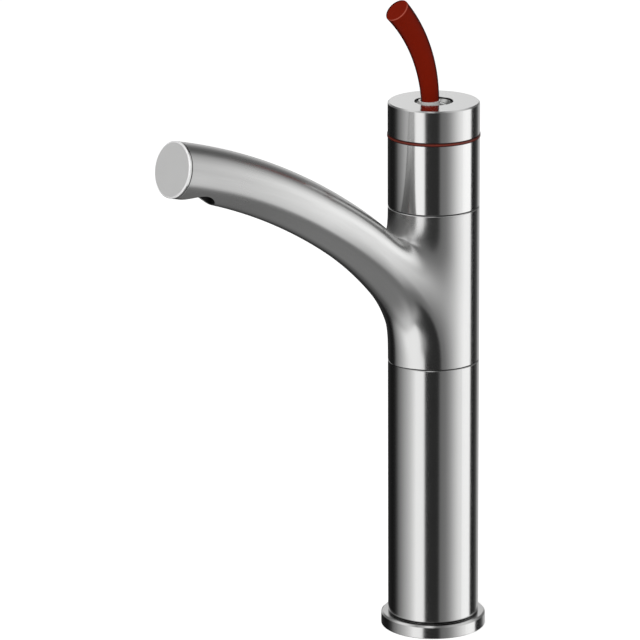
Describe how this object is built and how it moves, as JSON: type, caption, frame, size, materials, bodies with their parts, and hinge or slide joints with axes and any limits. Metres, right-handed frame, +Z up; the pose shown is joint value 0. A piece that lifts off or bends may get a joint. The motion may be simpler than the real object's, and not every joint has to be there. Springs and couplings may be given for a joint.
{
  "type": "kitchen mixer tap",
  "caption": "Single-hole kitchen mixer tap: round brushed-steel column, curved swivelling spout with aerator, and a curved red joystick lever that sets flow and temperature.",
  "frame": {"origin": "on the column's axis at the deck, where the fixing stud's threaded hole opens", "axes": "+Z up along the column, -Y towards the spout's tip, +X to the right of someone behind the tap"},
  "size_m": [0.0554, 0.1986, 0.3427],
  "materials": {
    "brushed_steel": "fine brushed satin stainless steel",
    "plain_steel": "plain turned stainless steel",
    "bright_chrome": "polished chrome",
    "red_lacquer": "satin dark red lacquer on metal",
    "red_ring": "smooth dark red plastic",
    "brass_parts": "machined brass",
    "copper_tube": "drawn copper tube",
    "seal_rubber": "black matt rubber",
    "dark_plastic": "matt dark grey plastic",
    "white_plastic": "matt off-white plastic",
    "disc_ceramic": "lapped ivory ceramic"
  },
  "bodies": {
    "column": {"base_flange": "brushed_steel", "deck_gasket": "seal_rubber", "base_insert": "brass_parts", "lower_column": "brushed_steel", "supply_tube_hot": "copper_tube", "supply_tube_cold": "copper_tube", "column_head": "brass_parts", "valve_body": "brass_parts", "swivel_stop_pin": "plain_steel", "lower_swivel_seal": "seal_rubber", "upper_swivel_seal": "seal_rubber", "lower_slide_ring": "dark_plastic", "upper_slide_ring": "dark_plastic", "upper_housing": "brushed_steel", "accent_ring": "red_ring", "top_cap": "brushed_steel", "cartridge_base": "white_plastic", "port_seals": "seal_rubber", "fixed_disc": "disc_ceramic", "cartridge_housing": "white_plastic", "cartridge_nut": "brass_parts"},
    "spout": {"spout_ring": "brushed_steel", "spout_tube": "brushed_steel", "spout_end_cap": "brushed_steel", "aerator_housing": "bright_chrome", "aerator_core": "dark_plastic", "aerator_screen": "plain_steel", "aerator_washer": "seal_rubber"},
    "cartridge_turntable": {"cartridge_rotor": "white_plastic", "pivot_pin": "plain_steel"},
    "sliding_disc": {"moving_disc": "disc_ceramic", "disc_carrier": "white_plastic"},
    "lever": {"lever_spindle": "plain_steel", "lever_dome": "brushed_steel", "lever_collar": "bright_chrome", "lever_stud": "plain_steel", "lever": "red_lacquer"}
  },
  "joints": [
    {"name": "spout_swivel", "type": "hinge", "parent": "column", "child": "spout", "pos_m": [0, 0, 0.189], "axis": [0, 0, 1], "range_deg": [-70, 70]},
    {"name": "lever_turn", "type": "hinge", "parent": "column", "child": "cartridge_turntable", "pos_m": [0, 0, 0.268], "axis": [0, 0, 1], "range_deg": [-50, 50]},
    {"name": "lever_tilt", "type": "hinge", "parent": "cartridge_turntable", "child": "lever", "pos_m": [0, 0, 0.268], "axis": [-1, 0, 0], "range_deg": [0, 20]},
    {"name": "disc_slide", "type": "slide", "parent": "cartridge_turntable", "child": "sliding_disc", "axis": [0, -1, 0], "range_m": [0, 0.0062]}
  ],
  "couplings": [
    {"joint": "disc_slide", "follows": "lever_tilt", "m_per_rad": 0.017637}
  ]
}
